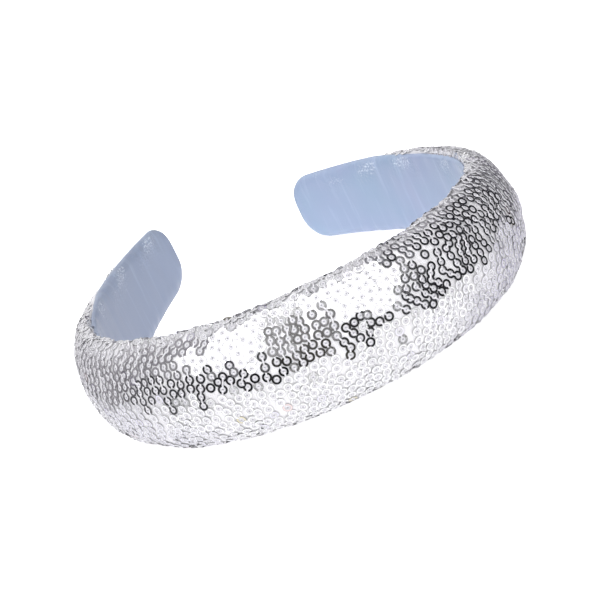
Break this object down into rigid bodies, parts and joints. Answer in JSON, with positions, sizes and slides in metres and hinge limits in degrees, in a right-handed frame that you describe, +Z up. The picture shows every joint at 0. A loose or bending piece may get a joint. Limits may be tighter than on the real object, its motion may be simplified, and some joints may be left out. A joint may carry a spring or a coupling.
{
  "type": "sequin headband",
  "caption": "Wide padded hoop headband covered with small silver sequins, lined with pale blue satin, open at the back so that it springs onto a head.",
  "frame": {"origin": "on the ground, under the middle of the headband's box as it lies on one long edge", "axes": "+Z up off the ground, along the band's width; +Y from the crown to the open ends; +X across the hoop"},
  "size_m": [0.1476, 0.1598, 0.0371],
  "materials": {
    "sequin_cover": "silver mirror sequins sewn on white net",
    "satin_lining": "pale blue satin"
  },
  "bodies": {
    "root": {"padded_band": "sequin_cover", "satin_lining": "satin_lining"}
  },
  "joints": []
}
